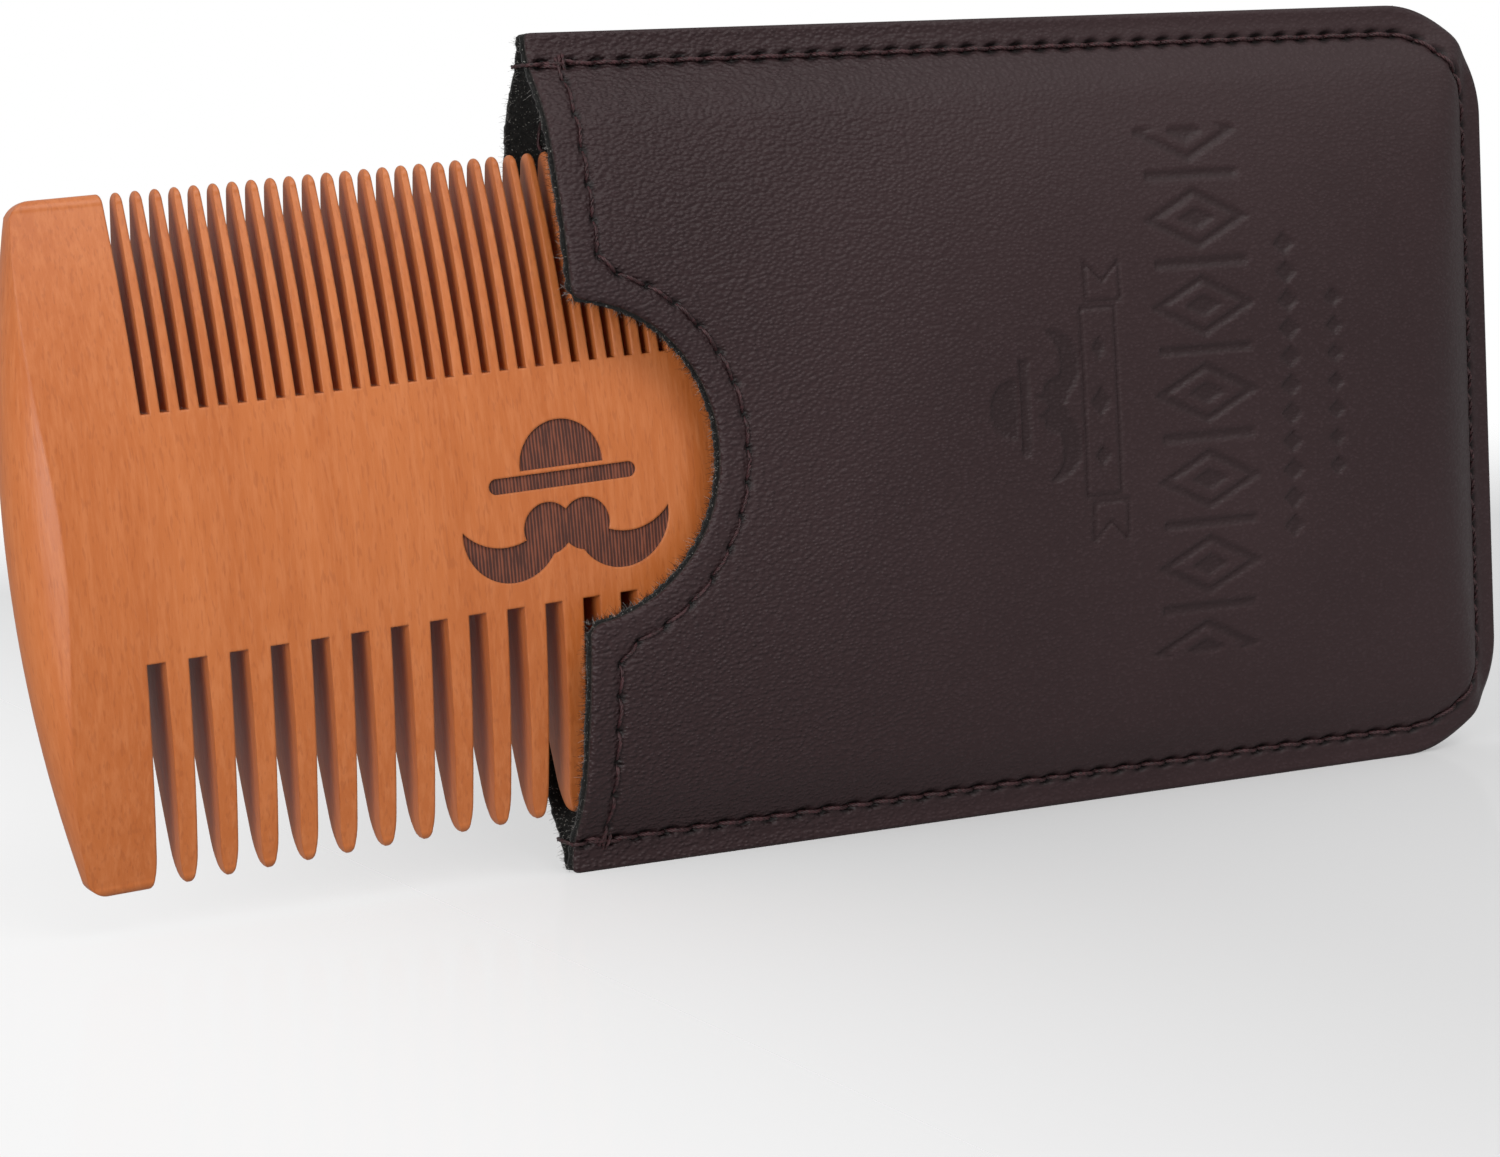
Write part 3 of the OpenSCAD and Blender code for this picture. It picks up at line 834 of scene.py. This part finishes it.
def floor_material():
    """Pale floor with a faint sheen that fades into the white backdrop. It is partly see-through to the
    white backdrop, which paints out much of its cast shadows: painted light.
    """
    r = Recipe("pale_floor")
    x, y, _ = r.axes(r.place)
    away = r.math("SQRT", r.math("ADD", r.math("MULTIPLY", x, x), r.math("MULTIPLY", y, y)))
    sheen = r.add("ShaderNodeBsdfGlossy")
    sheen.inputs["Roughness"].default_value = 0.10
    near = r.add("ShaderNodeMixShader")
    near.inputs[0].default_value = 0.12
    r.finish((0.66, 0.665, 0.675), 1.0, None, Specular_IOR_Level=0.0)
    r.put(near.inputs[1], r.shader.outputs[0])
    r.put(near.inputs[2], sheen.outputs[0])
    clear = r.add("ShaderNodeBsdfTransparent")
    both = r.add("ShaderNodeMixShader")
    # Painted light: about a third of the floor by the comb, and most of it left of the comb, lets the
    # white backdrop through, washing out the shadows there
    shadow_washout_left = r.between(x, -0.11, 0.0, 0.80, 0.34)
    r.put(both.inputs[0], r.math("MAXIMUM", shadow_washout_left, r.between(away, 0.14, 0.50)))
    r.put(both.inputs[1], near.outputs[0])
    r.put(both.inputs[2], clear.outputs[0])
    r.put(r.tree.nodes["Material Output"].inputs["Surface"], both.outputs[0])
    return r.material


# ---------- stage ----------

# Brightness of the white surroundings low down and high up; as a backdrop it is 1
ROOM_LIGHT = (0.26, 0.72)


def make_camera():
    """Camera in front of the mouth, slightly above and rolled."""
    data = bpy.data.cameras.new("camera")
    data.sensor_width = 36
    data.lens = 84
    camera = bpy.data.objects.new("camera", data)
    bpy.context.scene.collection.objects.link(camera)
    place, aim = Vector((-0.1735, -0.3083, 0.0651)), Vector((-0.0298, -0.0040, 0.0270))
    camera.rotation_mode = "QUATERNION"
    camera.location = place
    look = (aim - place).to_track_quat("-Z", "Y").to_matrix()
    roll = Matrix.Rotation(math.radians(-3.03), 3, "Z")
    camera.rotation_quaternion = (look @ roll).to_quaternion()
    bpy.context.scene.camera = camera


def make_light(name, place, aim, size, watts, colour):
    data = bpy.data.lights.new(name, "AREA")
    data.shape = "RECTANGLE"
    data.size, data.size_y = size
    data.energy = watts
    data.color = colour
    light = bpy.data.objects.new(name, data)
    bpy.context.scene.collection.objects.link(light)
    light.location = place
    light.rotation_euler = (Vector(aim) - Vector(place)).to_track_quat("-Z", "Y").to_euler()


def make_stage():
    """Soft white surroundings, two large lights and the floor."""
    scene = bpy.context.scene
    scene.view_settings.view_transform = "Standard"
    world = bpy.data.worlds.new("white_room")
    world.use_nodes = True
    tree = world.node_tree
    background = tree.nodes["Background"]
    background.inputs["Color"].default_value = (1.0, 1.0, 1.0, 1.0)
    path = tree.nodes.new("ShaderNodeLightPath")
    place = tree.nodes.new("ShaderNodeTexCoord")
    split = tree.nodes.new("ShaderNodeSeparateXYZ")
    tree.links.new(place.outputs["Generated"], split.inputs[0])
    room = tree.nodes.new("ShaderNodeMapRange")
    room.inputs["From Min"].default_value = -0.25
    room.inputs["From Max"].default_value = 0.75
    room.inputs["To Min"].default_value, room.inputs["To Max"].default_value = ROOM_LIGHT
    tree.links.new(split.outputs["Z"], room.inputs["Value"])
    strength = tree.nodes.new("ShaderNodeMapRange")
    strength.inputs["To Max"].default_value = 1.0
    tree.links.new(path.outputs["Is Camera Ray"], strength.inputs["Value"])
    tree.links.new(room.outputs["Result"], strength.inputs["To Min"])
    tree.links.new(strength.outputs["Result"], background.inputs["Strength"])
    scene.world = world
    middle = (0.0, 0.0, 0.04)
    make_light("key", (0.10, -0.70, 0.85), middle, (0.55, 0.45), 3.8, (1.0, 0.98, 0.97))
    make_light("left", (-0.64, -0.52, 0.15), middle, (0.35, 0.35), 4.0, (1.0, 0.98, 0.97))
    bpy.ops.mesh.primitive_circle_add(vertices=96, radius=3.0, fill_type="NGON")
    floor = bpy.context.object
    floor.name = "floor"
    floor.data.materials.append(floor_material())


# ---------- assembly ----------


def build_sleeve():
    """The leather, felt, stitches and fuzz that stand for the CAD sleeve."""
    hide = (leather(), cut_leather())
    lining, yarn = felt(), thread()
    fluff = [fibre("black_fibre", (0.006, 0.006, 0.006)), fibre("pale_fibre", (0.22, 0.21, 0.20))]
    around, notch, straight = perimeter_holes(), notch_holes(), straight_holes()

    fine_x = spaced((22, 0.3), (42, 0.4), (90, 0.28), (104.5, 0.55), (LENGTH, 0.25))
    low_z = ((1.5, 0.3), (4.5, 0.22), (14, 0.45))
    fine_z = spaced(*low_z, (70, 0.28), (75.5, 0.45), (78.5, 0.22), (HEIGHT, 0.3))
    plain_x = spaced((6, 0.3), (104.5, 0.9), (LENGTH, 0.25))
    plain_z = spaced((5, 0.25), (75, 0.45), (HEIGHT, 0.25))
    felt_x = spaced((23, 0.45), (96, 1.5), (LENGTH, 0.5))
    felt_z = spaced((12, 0.5), (23, 0.9), (57, 0.45), (68, 0.9), (HEIGHT, 0.5))

    tacks = back_tacks()
    big = (around, BIG_HOLE_R)
    front_seams = (big, (notch, SMALL_HOLE_R))
    back_seams = (big, (straight, SMALL_HOLE_R))
    front = leather_sheet("front_leather", True, front_seams, True, fine_x, fine_z, FRONT, hide)
    back = leather_sheet("back_leather", False, back_seams, False, plain_x, plain_z, BACK, hide)
    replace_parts(front, "front_panel")
    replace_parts(back, "back_panel")
    for name, side, notched in (("front", FRONT, True), ("back", BACK, False)):
        piece = felt_sheet(name + "_felt", notched, felt_x, felt_z, side, lining)
        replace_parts(piece, name + "_lining")
        felt_fuzz(name + "_fuzz", notched, side, 4000 if notched else 2400, fluff)

    thick, thin = THREAD_D * 0.86, THREAD_D * 0.72
    sew("perimeter_needle_thread", around, surface, FRONT, yarn, "sleeve", thick, wrapped=True)
    sew("perimeter_bobbin_thread", around, surface, BACK, yarn, "sleeve", thick, wrapped=True)

    def inside(x, z, side):
        return surface(x, z, side) - WALL_T - 0.1

    sew("front_mouth_needle_thread", notch, surface, FRONT, yarn, "sleeve", thin, tacks=tacks)
    sew("front_mouth_bobbin_thread", notch, inside, FRONT, yarn, "sleeve", thin)
    sew("back_mouth_needle_thread", straight, surface, BACK, yarn, "sleeve", thin, tacks=tacks)
    sew("back_mouth_bobbin_thread", straight, inside, BACK, yarn, "sleeve", thin)


def dress_comb():
    """Wood on the comb, whose shape is the CAD node's own."""
    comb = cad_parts["comb"]
    comb.data.materials.clear()
    comb.data.materials.append(pear_wood())


make_camera()
make_stage()
build_sleeve()
dress_comb()
